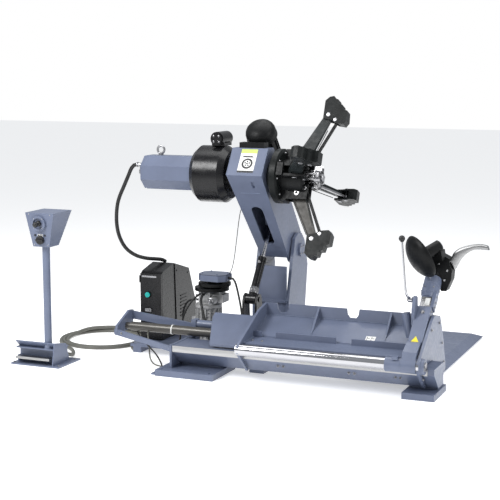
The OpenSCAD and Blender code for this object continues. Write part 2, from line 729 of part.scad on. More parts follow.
// The console's head widens towards its lid; its front leans outwards.
face_a = 94.42;
function face_y(z) = -62 + (lid_z - z) * 17 / 220;
module on_face(x, z) translate([x, face_y(z), z]) rotate([face_a, 0, 0])
    children();
module console_box() place() color(blue) {
    intersection() {
        prism_x(-1760, -1480, [[-62, lid_z], [-45, lid_z - 220],
            [70, lid_z - 220], [165, lid_z + 2]]);
        prism_y(-100, 300, [[-1728, lid_z + 4], [-1682, lid_z - 220],
            [-1562, lid_z - 220], [-1516, lid_z + 4]]);
    }
    // raised ring round the joystick
    on_face(-1628, 943) difference() {
        translate([0, 0, -2]) cylinder(h = 16, r = 50);
        translate([0, 0, -4]) cylinder(h = 24, r = 36);
    }
}
module joystick() place() color(dark) on_face(-1628, 943) {
    intersection() {
        sphere(r = 20);
        translate([0, 0, 26]) cube([60, 60, 40], center = true);
    }
    translate([0, 0, 15]) cylinder(h = 22, r = 8);
    translate([0, 0, 45]) sphere(r = 18);
}
module selector() place() color(dark) on_face(-1624, 836) {
    translate([0, 0, 1]) cylinder(h = 14, r = 28);
    translate([-26, -6, 15]) cube([52, 12, 10]);
}
module foot_pedal() place() color(bright) difference() {
    union() {
        box([-1836, -46, 44], [-1580, 14, 52]);
        box([-1836, -52, 40], [-1580, -46, 56]);
        cyl_x(-1836, -1580, 8, 42, 10);
    }
    cyl_x(-1850, -1570, 8, 42, 6.05);
}

// ------------------------------------------------------- hoses and cables
union_pts = [[-1298, 670, 1278], [-1320, 670.5, 1274], [-1345, 672, 1248],
    [-1368, 676, 1203],
    [-1405, 680, 1130], [-1452, 690, 1040], [-1476, 700, 960],
    [-1484, 710, 860], [-1470, 720, 770], [-1430, 735, 690],
    [-1370, 760, 640], [-1310, 800, 616], [-1265, 850, 606],
    [-1235, 900, 596], [-1220, 930, 580]];
cable_in = [[-1585, 151, 45], [-1585, 178, 42], [-1586, 206, 34],
    [-1591, 242, 23], [-1600, 275, 15], [-1618, 318, 13], [-1668, 395, 13],
    [-1790, 500, 13], [-1890, 610, 13], [-1935, 700, 13]];
cable_out = [[-1372, 700, 13], [-1352, 640, 13], [-1330, 604, 13],
    [-1293, 598, 13]];
coil_c = [-1650, 800];
coil_rm = 283;
module union_hose() place() color(dark) hose(union_pts, 13, 4, [0, 1, 0]);
module console_cable() place() color([0.45, 0.45, 0.42]) {
    hose(cable_in, 12.5, 4, [0, 0, 1]);
    hose(cable_out, 12.5, 3, [0, 0, 1]);
}
module cable_coil() place() color([0.4, 0.4, 0.37])
    translate([coil_c[0], coil_c[1], 0]) rotate_extrude(convexity = 4)
        polygon([[coil_rm - 38, 8], [coil_rm - 32, 0.5],
            [coil_rm + 32, 0.5], [coil_rm + 38, 8], [coil_rm + 38, 20],
            [coil_rm + 30, 28], [coil_rm - 30, 28], [coil_rm - 38, 20]]);

front_beam();
guide_strip();
foot_plates();
base_frame();
boom_pedestal();
cylinder_bracket();
traverse_barrel();
lift_bracket();
cabinet();
cabinet_door();
push_button();
power_motor();
valve_block();
reservoir_cap();
boom_arm();
drive_drum();
actuator_housing();
union_elbow();
eye_bolt();
spin_motor();
aux_motor();
lift_barrel();
lift_rod();
spindle();
chuck_block();
chuck_hub();
chuck_arm_1();
chuck_arm_2();
chuck_arm_3();
chuck_arm_4();
chuck_strut_1();
chuck_strut_2();
chuck_strut_3();
chuck_strut_4();
chuck_jaw_1();
chuck_jaw_2();
chuck_jaw_3();
chuck_jaw_4();
carriage_ends();
tray();
guide_bar();
wheel_platform();
traverse_rod();
slide_collar();
tool_arm();
arm_extension();
tool_head();
bead_hook();
breaker_disc();
hand_lever();
console_base();
console_post();
console_box();
joystick();
selector();
foot_pedal();
union_hose();
console_cable();
cable_coil();
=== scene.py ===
import bpy, bmesh, json, math
from mathutils import Vector, Matrix

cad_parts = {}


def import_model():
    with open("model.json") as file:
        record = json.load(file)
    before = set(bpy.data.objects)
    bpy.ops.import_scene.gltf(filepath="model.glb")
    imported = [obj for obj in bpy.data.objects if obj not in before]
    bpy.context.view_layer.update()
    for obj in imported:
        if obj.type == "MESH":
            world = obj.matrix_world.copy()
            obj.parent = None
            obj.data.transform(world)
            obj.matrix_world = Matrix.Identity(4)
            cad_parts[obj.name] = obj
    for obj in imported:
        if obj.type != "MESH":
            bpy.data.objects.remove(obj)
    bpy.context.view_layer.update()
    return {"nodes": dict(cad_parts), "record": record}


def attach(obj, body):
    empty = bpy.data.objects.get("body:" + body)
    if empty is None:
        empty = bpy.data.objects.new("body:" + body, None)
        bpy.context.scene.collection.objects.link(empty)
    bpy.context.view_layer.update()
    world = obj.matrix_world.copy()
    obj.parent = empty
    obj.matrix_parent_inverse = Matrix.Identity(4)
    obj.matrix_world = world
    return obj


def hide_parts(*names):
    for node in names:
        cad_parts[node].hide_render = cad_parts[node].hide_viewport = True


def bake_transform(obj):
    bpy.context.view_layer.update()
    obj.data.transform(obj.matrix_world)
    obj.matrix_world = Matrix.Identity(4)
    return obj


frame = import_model()
nodes = frame["nodes"]
OX, OY = 370.5, -905.155


def P(x, y, z):
    return Vector(((x + OX) / 1000, (y + OY) / 1000, z / 1000))


# ------------------------------------------------------------------ camera
cam_data = bpy.data.cameras.new("cam")
cam_data.sensor_width = 36
cam_data.lens = 36 * 1256 / 500
cam_data.clip_end = 100
cam = bpy.data.objects.new("cam", cam_data)
cam.location = P(2700, -6900, 1950)
cam.rotation_euler = (math.radians(90 - 8.4), 0, math.radians(22.7))
bpy.context.scene.collection.objects.link(cam)
bpy.context.scene.camera = cam

# ------------------------------------------------------- stage and lights
w = bpy.data.worlds.new("studio")
bpy.context.scene.world = w
w.use_nodes = True
bg = w.node_tree.nodes["Background"]
bg.inputs[0].default_value = (0.93, 0.96, 1, 1)
bg.inputs[1].default_value = 0.46
bg2 = w.node_tree.nodes.new("ShaderNodeBackground")
bg2.inputs[0].default_value = (1, 1, 1, 1)
bg2.inputs[1].default_value = 1.0
mixw = w.node_tree.nodes.new("ShaderNodeMixShader")
lpw = w.node_tree.nodes.new("ShaderNodeLightPath")
wl = w.node_tree.links.new
wl(lpw.outputs["Is Camera Ray"], mixw.inputs[0])
wl(bg.outputs[0], mixw.inputs[1])
wl(bg2.outputs[0], mixw.inputs[2])
wl(mixw.outputs[0], w.node_tree.nodes["World Output"].inputs[0])
bpy.context.scene.view_settings.view_transform = "Standard"
bpy.context.scene.view_settings.look = "None"


def area(name, loc, target, size, power, color=(1, 1, 1)):
    l = bpy.data.lights.new(name, "AREA")
    l.shape = "RECTANGLE"
    l.size, l.size_y = size
    l.energy = power
    l.color = color
    o = bpy.data.objects.new(name, l)
    o.location = loc
    d = Vector(target) - Vector(loc)
    o.rotation_euler = d.to_track_quat("-Z", "Y").to_euler()
    bpy.context.scene.collection.objects.link(o)


area("key", (-2.6, -4.2, 4.2), (0, 0, 0.6), (2.2, 2.2), 250)
area("top", (0.3, 0.4, 4.6), (0.2, 0, 0.3), (4.4, 3.2), 135)
area("rim", (3.8, -1.0, 2.4), (0.5, 0, 0.7), (1.0, 2.4), 45)


# --------------------------------------------------------------- materials
def mat(name, col, rough, metal=0.0, var=0.10, scale=7.0, bump=0.12,
        fine=260.0, rvar=0.10, wear=None, stretch=(1, 1, 1), coat=0.0,
        spec=0.5):
    m = bpy.data.materials.new(name)
    m.use_nodes = True
    nt = m.node_tree
    b = nt.nodes["Principled BSDF"]
    L = nt.links.new
    tc = nt.nodes.new("ShaderNodeTexCoord")
    mp = nt.nodes.new("ShaderNodeMapping")
    mp.inputs["Scale"].default_value = stretch
    L(tc.outputs["Object"], mp.inputs["Vector"])
    n1 = nt.nodes.new("ShaderNodeTexNoise")
    n1.inputs["Scale"].default_value = scale
    n1.inputs["Detail"].default_value = 6
    L(mp.outputs[0], n1.inputs["Vector"])
    ramp = nt.nodes.new("ShaderNodeValToRGB")
    ramp.color_ramp.elements[0].position = 0.32
    ramp.color_ramp.elements[1].position = 0.70
    lo = [c * (1 - var) for c in col]
    hi = [min(1, c * (1 + var)) for c in col]
    ramp.color_ramp.elements[0].color = (*lo, 1)
    ramp.color_ramp.elements[1].color = (*hi, 1)
    L(n1.outputs["Fac"], ramp.inputs["Fac"])
    last = ramp.outputs["Color"]
    if wear:
        # small chips and scuffs
        n3 = nt.nodes.new("ShaderNodeTexNoise")
        n3.inputs["Scale"].default_value = 38
        n3.inputs["Detail"].default_value = 9
        n3.inputs["Roughness"].default_value = 0.7
        L(tc.outputs["Object"], n3.inputs["Vector"])
        r3 = nt.nodes.new("ShaderNodeValToRGB")
        r3.color_ramp.elements[0].position = 0.69
        r3.color_ramp.elements[1].position = 0.74
        L(n3.outputs["Fac"], r3.inputs["Fac"])
        mx = nt.nodes.new("ShaderNodeMixRGB")
        L(r3.outputs["Color"], mx.inputs["Fac"])
        L(last, mx.inputs["Color1"])
        mx.inputs["Color2"].default_value = (*wear, 1)
        last = mx.outputs["Color"]
    L(last, b.inputs["Base Color"])
    n2 = nt.nodes.new("ShaderNodeTexNoise")
    n2.inputs["Scale"].default_value = fine / 7
    n2.inputs["Detail"].default_value = 5
    L(mp.outputs[0], n2.inputs["Vector"])
    mr = nt.nodes.new("ShaderNodeMapRange")
    mr.inputs["From Min"].default_value = 0.3
    mr.inputs["From Max"].default_value = 0.7
    mr.inputs["To Min"].default_value = max(0.02, rough - rvar)
    mr.inputs["To Max"].default_value = min(1, rough + rvar)
    L(n2.outputs["Fac"], mr.inputs["Value"])
    L(mr.outputs["Result"], b.inputs["Roughness"])
    nb = nt.nodes.new("ShaderNodeTexNoise")
    nb.inputs["Scale"].default_value = fine
    nb.inputs["Detail"].default_value = 3
    L(mp.outputs[0], nb.inputs["Vector"])
    bp = nt.nodes.new("ShaderNodeBump")
    bp.inputs["Strength"].default_value = bump
    bp.inputs["Distance"].default_value = 0.001
    L(nb.outputs["Fac"], bp.inputs["Height"])
    L(bp.outputs["Normal"], b.inputs["Normal"])
    b.inputs["Metallic"].default_value = metal
    b.inputs["Specular IOR Level"].default_value = spec
    b.inputs["Coat Weight"].default_value = coat
    b.inputs["Coat Roughness"].default_value = 0.12
    return m


blue = mat("paint_blue", (0.128, 0.152, 0.225), 0.38, var=0.07, bump=0.10,
           fine=330, rvar=0.07, wear=(0.17, 0.195, 0.25), coat=0.12, spec=0.4)
gloss = mat("black_gloss", (0.006, 0.006, 0.007), 0.26, var=0.25, bump=0.05,
            fine=300, rvar=0.07, wear=(0.012, 0.012, 0.013), coat=0.0,
            spec=0.32)
satin = mat("black_satin", (0.007, 0.0075, 0.008), 0.42, var=0.3, bump=0.10,
            fine=420, rvar=0.10, spec=0.16)
darksteel = mat("dark_steel", (0.010, 0.0115, 0.0115), 0.36, metal=0.0,
                var=0.35, scale=16, bump=0.16, fine=300, rvar=0.12,
                wear=(0.05, 0.05, 0.048), spec=0.14)
armsteel = mat("arm_steel", (0.018, 0.022, 0.023), 0.34, metal=0.0,
               var=0.28, scale=11, bump=0.12, fine=260, rvar=0.10,
               wear=(0.045, 0.048, 0.047), spec=0.18)
armbrown = mat("arm_brown", (0.062, 0.059, 0.054), 0.40, metal=0.15,
               var=0.22, scale=9, bump=0.12, fine=260, rvar=0.10,
               wear=(0.11, 0.105, 0.10), spec=0.25)
barrelm = mat("barrel_steel", (0.085, 0.080, 0.072), 0.34, metal=0.35,
              var=0.20, scale=4, bump=0.08, fine=240, rvar=0.08,
              stretch=(0.5, 8, 8))
steel = mat("plain_steel", (0.34, 0.34, 0.35), 0.30, metal=1.0, var=0.12,
            scale=9, bump=0.10, fine=210, rvar=0.10, stretch=(1, 9, 9))
brushed = mat("brushed_steel", (0.34, 0.34, 0.34), 0.33, metal=1.0,
              var=0.10, scale=5, bump=0.14, fine=160, rvar=0.08,
              stretch=(1.2, 14, 14))
strip = mat("strip_steel", (0.40, 0.40, 0.40), 0.34, metal=0.85, var=0.14,
            scale=3, bump=0.10, fine=160, rvar=0.10, stretch=(0.6, 16, 16))
chrome = mat("chrome", (0.50, 0.50, 0.52), 0.09, metal=1.0, var=0.04,
             scale=6, bump=0.02, fine=120, rvar=0.04, stretch=(1, 6, 6))
castgrey = mat("grey_casting", (0.46, 0.46, 0.46), 0.48, metal=0.25,
               var=0.12, scale=14, bump=0.22, fine=360, rvar=0.10,
               wear=(0.30, 0.30, 0.30))
teal = mat("teal_plastic", (0.0, 0.42, 0.38), 0.25, var=0.08, bump=0.04)
rubber = mat("hose_rubber", (0.009, 0.009, 0.009), 0.50, var=0.3, scale=30,
             bump=0.25, fine=500, rvar=0.1)
cablegrey = mat("cable_grey", (0.115, 0.115, 0.10), 0.50, var=0.16,
                scale=12, bump=0.12, fine=340, rvar=0.1)
plastic = mat("black_plastic", (0.012, 0.012, 0.013), 0.45, var=0.2,
              bump=0.3, fine=700, rvar=0.08)
white = mat("label_white", (0.80, 0.80, 0.78), 0.42, var=0.03, bump=0.03)
yellow = mat("label_yellow", (0.80, 0.66, 0.03), 0.40, var=0.05, bump=0.03)
green = mat("label_green", (0.52, 0.62, 0.16), 0.40, var=0.05, bump=0.03)
ink = mat("label_ink", (0.02, 0.02, 0.022), 0.45, var=0.1, bump=0.03)
nylon = mat("tie_nylon", (0.72, 0.72, 0.70), 0.45, var=0.05, bump=0.05)
weldm = mat("weld", (0.150, 0.184, 0.270), 0.38, var=0.08, bump=0.2,
            fine=400, coat=0.15)

by_node = {}
for s in frame["record"]["subparts"]:
    by_node[s["node"]] = s["material_slot"]
slot_mat = {"paint_blue": blue, "black_gloss": gloss, "dark_steel": darksteel,
            "plain_steel": steel, "chrome": chrome, "grey_casting": castgrey,
            "teal_plastic": teal, "black_plastic": plastic,
            "hose_rubber": rubber, "cable_grey": cablegrey}
special = {"guide_strip": strip, "bead_hook": brushed, "breaker_disc": satin,
           "tool_head": satin, "traverse_barrel": barrelm,
           "chuck_hub": steel, "foot_pedal": brushed,
           "reservoir_cap": satin, "arm_extension": blue,
           "chuck_block": satin, "spin_motor": satin, "aux_motor": gloss}
for k in range(1, 5):
    special["chuck_arm_%d" % k] = armsteel
    special["chuck_jaw_%d" % k] = darksteel
    special["chuck_strut_%d" % k] = satin
special["chuck_strut_2"] = steel
special["chuck_arm_3"] = armbrown
sharp = {"front_beam": 3, "foot_plates": 3, "base_frame": 3,
         "boom_pedestal": 3, "cylinder_bracket": 2, "cabinet": 3,
         "cabinet_door": 1.5, "boom_arm": 5, "actuator_housing": 2.5,
         "carriage_ends": 2.5, "tray": 2, "wheel_platform": 3,
         "tool_arm": 3, "tool_head": 5, "console_base": 1.5,
         "console_box": 3, "spin_motor": 3, "reservoir_cap": 4,
         "valve_block": 2, "power_motor": 2, "drive_drum": 3,
         "spindle": 3, "chuck_block": 2, "slide_collar": 3,
         "lift_barrel": 2, "arm_extension": 2.5, "aux_motor": 4, "chuck_hub": 2,
         "foot_pedal": 1.5, "joystick": 0.8, "selector": 2,
         "lift_bracket": 2, "union_elbow": 1.5}
for k in range(1, 5):
    sharp["chuck_jaw_%d" % k] = 1.5
    sharp["chuck_arm_%d" % k] = 2
    sharp["chuck_strut_%d" % k] = 2
for n, o in nodes.items():
    m = special.get(n, slot_mat[by_node[n]])
    o.data.materials.clear()
    o.data.materials.append(m)
    if n in sharp:
        bv = o.modifiers.new("edge", "BEVEL")
        bv.width = sharp[n] / 1000
        bv.segments = 2
        bv.limit_method = "ANGLE"
        bv.angle_limit = math.radians(38)
        bv.use_clamp_overlap = True
        bv.harden_normals = False


# ----------------------------------------------------------- mesh helpers
def obj(name, bm, material, body, smooth=40, mats=None):
    me = bpy.data.meshes.new(name)
    bmesh.ops.remove_doubles(bm, verts=bm.verts, dist=1e-6)
    bmesh.ops.recalc_face_normals(bm, faces=bm.faces)
    bm.to_mesh(me)
    bm.free()
    for m in (mats or [material]):
        me.materials.append(m)
    o = bpy.data.objects.new(name, me)
    bpy.context.scene.collection.objects.link(o)
    if smooth:
        for p in me.polygons:
            p.use_smooth = True
        me.set_sharp_from_angle(angle=math.radians(smooth))
    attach(o, body)
    return o


def basis(axis):
    a = Vector(axis).normalized()
    u = a.orthogonal().normalized()
    return u, a.cross(u), a


def lathe(bm, origin, axis, prof, n=48, mi=0, ring=False):
    """Closed solid of revolution: prof is [(radius, height)] in mm.
    A ring has a hole through it, so its profile closes on itself."""
    u, v, a = basis(axis)
    rings = []
    for r, h in prof:
        c = origin + a * (h / 1000)
        if r <= 1e-6:
            rings.append([bm.verts.new(c)])
        else:
            rings.append([bm.verts.new(c + (u * math.cos(t) + v * math.sin(t))
                                       * (r / 1000))
                          for t in [2 * math.pi * i / n for i in range(n)]])
    for A, B in zip(rings, rings[1:]):
        for i in range(n):
            j = (i + 1) % n
            if len(A) == 1 and len(B) == 1:
                continue
            if len(A) == 1:
                f = bm.faces.new((A[0], B[i], B[j]))
            elif len(B) == 1:
                f = bm.faces.new((A[i], A[j], B[0]))
            else:
                f = bm.faces.new((A[i], A[j], B[j], B[i]))
            f.material_index = mi
    if ring:
        A, B = rings[-1], rings[0]
        for i in range(n):
            j = (i + 1) % n
            f = bm.faces.new((A[i], A[j], B[j], B[i]))
            f.material_index = mi
        return
    for R in (rings[0], rings[-1]):
        if len(R) > 1:
            f = bm.faces.new(R)
            f.material_index = mi


def bolt(bm, at, axis, r=8, h=None, n=6, washer=True, mi=0):
    """Hex head with a chamfered top, on a washer, with a short thread end."""
    h = h or r * 0.7
    if washer:
        lathe(bm, at, axis, [(r * 1.25, -0.5), (r * 1.25, r * 0.16),
                             (r * 1.15, r * 0.22)], 28, mi)
    base = r * 0.2
    u, v, a = basis(axis)
    prof = [(r, base), (r, base + h * 0.82), (r * 0.86, base + h)]
    lathe(bm, at, axis, prof, n, mi)
    lathe(bm, at, axis, [(r * 0.45, base + h - 0.3), (r * 0.45, base + h * 1.3),
                         (r * 0.38, base + h * 1.42)], 16, mi)


def boxm(bm, lo, hi, mi=0, ch=0.0):
    vs = [bm.verts.new(P(x, y, z)) for x in (lo[0], hi[0])
          for y in (lo[1], hi[1]) for z in (lo[2], hi[2])]
    fs = []
    for q in ((0, 1, 3, 2), (4, 6, 7, 5), (0, 4, 5, 1), (2, 3, 7, 6),
              (0, 2, 6, 4), (1, 5, 7, 3)):
        f = bm.faces.new([vs[i] for i in q])
        f.material_index = mi
        fs.append(f)
    if ch:
        es = list({e for f in fs for e in f.edges})
        bmesh.ops.bevel(bm, geom=es, offset=ch / 1000, segments=2,
                        affect="EDGES", clamp_overlap=True)


def plate(bm, origin, ex, ey, pts, t=0.6, mi=0):
    """Thin prism on a face: pts in mm along ex, ey; thickness t along ex x ey."""
    ex = Vector(ex).normalized()
    ey = Vector(ey).normalized()
    n = ex.cross(ey).normalized()
    a = [bm.verts.new(origin + (ex * x + ey * y) / 1000) for x, y in pts]
    b = [bm.verts.new(origin + (ex * x + ey * y + n * t) / 1000)
         for x, y in pts]
    k = len(pts)
    for i in range(k):
        f = bm.faces.new((a[i], a[(i + 1) % k], b[(i + 1) % k], b[i]))
        f.material_index = mi
    f = bm.faces.new(a[::-1]); f.material_index = mi
    f = bm.faces.new(b); f.material_index = mi


def spline(pts, n=8):
    pts = [Vector(p) for p in pts]
    out = []
    m = len(pts)
    for i in range(m - 1):
        a, b, c, d = (pts[max(i - 1, 0)], pts[i], pts[i + 1],
                      pts[min(i + 2, m - 1)])
        for k in range(n):
            t = k / n
            out.append(0.5 * ((2 * b) + (c - a) * t
                              + (2 * a - 5 * b + 4 * c - d) * t * t
                              + (3 * b - a - 3 * c + d) * t ** 3))
    out.append(pts[-1])
    return out


def resample(pts, k):
    d = [0]
    for a, b in zip(pts, pts[1:]):
        d.append(d[-1] + (b - a).length)
    out = []
    j = 0
    for i in range(k):
        s = d[-1] * i / (k - 1)
        while j < len(pts) - 2 and d[j + 1] < s:
            j += 1
        t = (s - d[j]) / max(1e-9, d[j + 1] - d[j])
        out.append(pts[j].lerp(pts[j + 1], min(1, max(0, t))))
    return out


def tube(name, pts, r, material, body, n=8, res=6):
    """A round hose along a smooth path; pts are the row frame's points."""
    cd = bpy.data.curves.new(name, "CURVE")
    cd.dimensions = "3D"
    cd.bevel_depth = r / 1000
    cd.bevel_resolution = res
    cd.use_fill_caps = True
    sp = cd.splines.new("POLY")
    sp.points.add(len(pts) - 1)
    for q, p in zip(sp.points, pts):
        q.co = (*p, 1)
    sp.use_smooth = True
    cd.materials.append(material)
    o = bpy.data.objects.new(name, cd)
    bpy.context.scene.collection.objects.link(o)
    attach(o, body)
    return o


def weld(bm, a, b, r=3.0, step=5.0, mi=0):
    """A row of overlapping flattened beads from a to b."""
    d = b - a
    n = max(2, int(d.length * 1000 / step))
    ax = d.normalized()
    for i in range(n):
        c = a + d * ((i + 0.5) / n)
        q = 1 + 0.12 * math.sin(i * 2.7)
        lathe(bm, c, ax, [(0, -step * 0.75), (r * 0.8 * q, -step * 0.45),
                          (r * q, 0), (r * 0.75 * q, step * 0.5),
                          (0, step * 0.7)], 8, mi)


# ------------------------------------------------------------------- cords
hose_pts = [P(*p) for p in (
    (-1298, 670, 1278), (-1320, 670.5, 1274), (-1345, 672, 1248),
    (-1368, 676, 1203), (-1405, 680, 1130), (-1452, 690, 1040),
    (-1476, 700, 960), (-1484, 710, 860), (-1470, 720, 770),
    (-1430, 735, 690), (-1370, 760, 640), (-1310, 800, 616),
    (-1265, 850, 606), (-1235, 900, 596), (-1220, 930, 580))]


def mesh_tube(name, pts, r, material, n=16):
    """A closed round tube as a mesh, for a hose that bends over a joint."""
    bm = bmesh.new()
    prev = None
    u_ = None
    for i, c in enumerate(pts):
        t = (pts[min(i + 1, len(pts) - 1)] - pts[max(i - 1, 0)]).normalized()
        if u_ is None:
            u_ = t.orthogonal().normalized()
        u_ = (u_ - t * u_.dot(t)).normalized()
        v_ = t.cross(u_)
        ring = [bm.verts.new(c + (u_ * math.cos(2 * math.pi * k / n)
                                  + v_ * math.sin(2 * math.pi * k / n))
                             * (r / 1000)) for k in range(n)]
        if prev:
            for k in range(n):
                bm.faces.new((prev[k], prev[(k + 1) % n],
                              ring[(k + 1) % n], ring[k]))
        else:
            bm.faces.new(ring[::-1])
        prev = ring
    bm.faces.new(prev)
    bmesh.ops.recalc_face_normals(bm, faces=bm.faces)
    me = bpy.data.meshes.new(name)
    bm.to_mesh(me)
    bm.free()
    me.materials.append(material)
    for p in me.polygons:
        p.use_smooth = True
    me.set_sharp_from_angle(angle=math.radians(50))
    o = bpy.data.objects.new(name, me)
    bpy.context.scene.collection.objects.link(o)
    return o


path = resample(spline(hose_pts, 10), 40)
uh = mesh_tube("union_hose_run", path, 13, rubber)
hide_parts("union_hose")
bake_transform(uh)

C = (-1650, 800)
pts = [(-1585, 151, 45), (-1585, 178, 42), (-1586, 206, 34),
       (-1591, 242, 23), (-1600, 275, 15), (-1618, 318, 13),
       (-1668, 395, 13), (-1725, 450, 13), (-1790, 500, 13),
       (-1844, 552, 13), (-1890, 610, 13)]
a0, a1, a2 = 199.3, -521.0, -720.0
for i in range(0, 49):
    a = a0 + (a1 - a0) * i / 48
    r = 308 - 50 * i / 48
    r = min(r, 303 + 5 * min(1, i / 4)) if i < 5 else r
    pts.append((C[0] + r * math.cos(math.radians(a)),
                C[1] + r * math.sin(math.radians(a)), 13))
for i in range(1, 17):
    t = i / 16
    a = a1 + (a2 - a1) * t
    s = t * t * (3 - 2 * t)
    r = 258 + 40 * s
    z = 13 + 26.5 * min(1, t / 0.28) ** 1.5 if t < 0.28 else 39.5
    pts.append((C[0] + r * math.cos(math.radians(a)),
                C[1] + r * math.sin(math.radians(a)), z))
pts += [(-1352, 765, 39), (-1352, 735, 37), (-1352, 700, 29),
        (-1344, 655, 17), (-1322, 617, 13), (-1293, 592, 13)]
cpts = [P(*p) for p in pts]
path = []
for a, b in zip(cpts, cpts[1:]):
    if not path or (a - path[-1]).length > 0.004:
        path.append(a)
path.append(cpts[-1])
path = spline(path, 2)
cc = tube("console_cable_run", path, 12.5, cablegrey, "base")
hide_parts("console_cable", "cable_coil")


def small_cord(name, pts, r, material, body, k=24):
    p = resample(spline([P(*q) for q in pts], 12), k)
    o = tube(name, p, r, material, body)
    return o


# ------------------------------------------------- replaced detailed pieces
# smooth dished disc
bm = bmesh.new()
A = Vector((math.sin(math.radians(116.1)) * math.cos(math.radians(-138.2)),
            math.sin(math.radians(116.1)) * math.sin(math.radians(-138.2)),
            math.cos(math.radians(116.1))))
outer = [(0, 70), (12, 69.8), (26, 68.8), (42, 66.6), (58, 63.2), (74, 58.4),
         (90, 52.0), (104, 44.6), (116, 36.2), (127, 26.0), (135, 15.4),
         (139.4, 6.4), (141, 0), (140.4, -3.2), (138, -5.4), (135.4, -5.2)]
inner = [(133, -1), (127, 8), (118, 18.5), (106, 28), (88, 37.4), (66, 45),
         (44, 50), (32, 52), (31, 20), (30, -20), (16, -20), (16, -127),
         (14.5, -128), (0, -128)]
lathe(bm, P(750, 460, 797), A, outer + inner, 128)
d = obj("disc_smooth", bm, satin, "disc", smooth=35)
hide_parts("breaker_disc")

# hook: a curved blade with a rounded section, tapering to its tip
up = [(896.3, 770), (906, 800), (925, 822), (960, 842), (1020, 860),
      (1070, 866), (1100, 863), (1115, 860)]
dn = [(896.3, 742), (918.5, 702.5), (936, 730), (955, 765), (985, 800),
      (1030, 828), (1075, 834), (1126, 832)]
U = spline([Vector((x, 0, z)) for x, z in up], 6)
D = spline([Vector((x, 0, z)) for x, z in dn], 6)
bm = bmesh.new()
rings = []
N = len(U)
for i in range(N):
    t = i / (N - 1)
    p, q = U[i], D[i]
    c = (p + q) / 2
    h = (p - q) / 2
    wd = 30 - 9 * t
    ring = []
    for k in range(24):
        th = 2 * math.pi * k / 24
        ct, st = math.cos(th), math.sin(th)
        e = 0.45 + 0.25 * t
        sy = math.copysign(abs(ct) ** e, ct)
        sz = math.copysign(abs(st) ** e, st)
        pt = c + h * sz
        ring.append(bm.verts.new(P(pt.x, 635 + wd * sy, pt.z)))
    rings.append(ring)
for A_, B_ in zip(rings, rings[1:]):
    for k in range(24):
        bm.faces.new((A_[k], A_[(k + 1) % 24], B_[(k + 1) % 24], B_[k]))
bm.faces.new(rings[0])
bm.faces.new(rings[-1])
hk = obj("hook_blade", bm, brushed, "tool_head", smooth=50)
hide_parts("bead_hook")

# hand lever: bent tapering bar with its boss and ball
bm = bmesh.new()
bar = spline([P(719, 345, 548), P(716, 334, 556), P(708, 314, 573),
              P(702, 303, 594), P(699, 300.5, 612), P(693, 300, 670),
              P(684, 300, 765), P(671.5, 300, 904)], 8)
prev = None
for i, c in enumerate(bar):
    t = i / (len(bar) - 1)
    tn = (bar[min(i + 1, len(bar) - 1)] - bar[max(i - 1, 0)]).normalized()
    u_ = tn.cross(Vector((0, 1, 0))).normalized()
    v_ = tn.cross(u_)
    r = (8 - 1.6 * t) / 1000
    ring = [bm.verts.new(c + (u_ * math.cos(2 * math.pi * k / 20)
                              + v_ * math.sin(2 * math.pi * k / 20)) * r)
            for k in range(20)]
    if prev:
        for k in range(20):
            bm.faces.new((prev[k], prev[(k + 1) % 20], ring[(k + 1) % 20],
                          ring[k]))
    else:
        bm.faces.new(ring)
    prev = ring
bm.faces.new(prev)
lathe(bm, P(706, 345, 548), (1, 0, 0), [(9, 0), (15.5, 0), (17, 1.5),
                                        (17, 24.5), (15.5, 26), (9, 26)], 40,
      ring=True)
lathe(bm, P(671, 300, 923), (-0.09, 0, 1),
      [(0, -19), (6, -18.6), (9, -18), (9, -20.5), (10.5, -20.5),
       (10.5, -16)] +
      [(19 * math.cos(math.radians(q)), 19 * math.sin(math.radians(q)))
       for q in range(-56, 90, 8)] + [(0, 19)], 40, 1)
lv = obj("lever_bar", bm, chrome, "hand_lever", smooth=40,
         mats=[chrome, plastic])
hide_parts("hand_lever")

# ------------------------------------------------------------ small details
# bolts and weld seams of the base
bm = bmesh.new()
nrm = Vector((0, -0.675, -0.737))
for x in (-60, -25, 400, 435):
    bolt(bm, P(x, 146.5, 112), nrm, 8.5, 8)
for x in (560, 590):
    bolt(bm, P(x + 130, 146.5, 112), nrm, 7, 7)
for x in (bx for bx in (-588, -292)):
    ax = (-1, 0, 0) if x < -440 else (1, 0, 0)
    for a in range(0, 360, 90):
        bolt(bm, P(x, 1190 + 34 * math.cos(math.radians(a + 45)),
                   680 + 34 * math.sin(math.radians(a + 45))), ax, 6)
for x, y in ((-488, 600), (-392, 600), (-488, 722), (-392, 722)):
    bolt(bm, P(x, y, 58), (0, 0, 1), 8)
for x, y in ((-1300, 575), (-1180, 575), (-740, 575), (-740, 985)):
    bolt(bm, P(x, y, 60), (0, 0, 1), 8)
for x in (-1845, -1530):
    bolt(bm, P(x, 190, 10), (0, 0, 1), 8)
bolt(bm, P(-1855, -35, 10), (0, 0, 1), 7)
bolt(bm, P(-1520, -35, 10), (0, 0, 1), 7)
for k in range(4):
    a = math.radians(45 + 90 * k)
    bolt(bm, P(-850 + 86 * math.cos(a), 850 + 86 * math.sin(a), 76),
         (0, 0, 1), 7)
bolt(bm, P(-1247, 270, 222), (-1, 0, 0), 9)
bolt(bm, P(-1247, 430, 268), (-1, 0, 0), 9)
bolt(bm, P(-1192, 226.2, 205), (-0.255, -0.967, 0), 10)
obj("base_fasteners", bm, steel, "base", smooth=35)

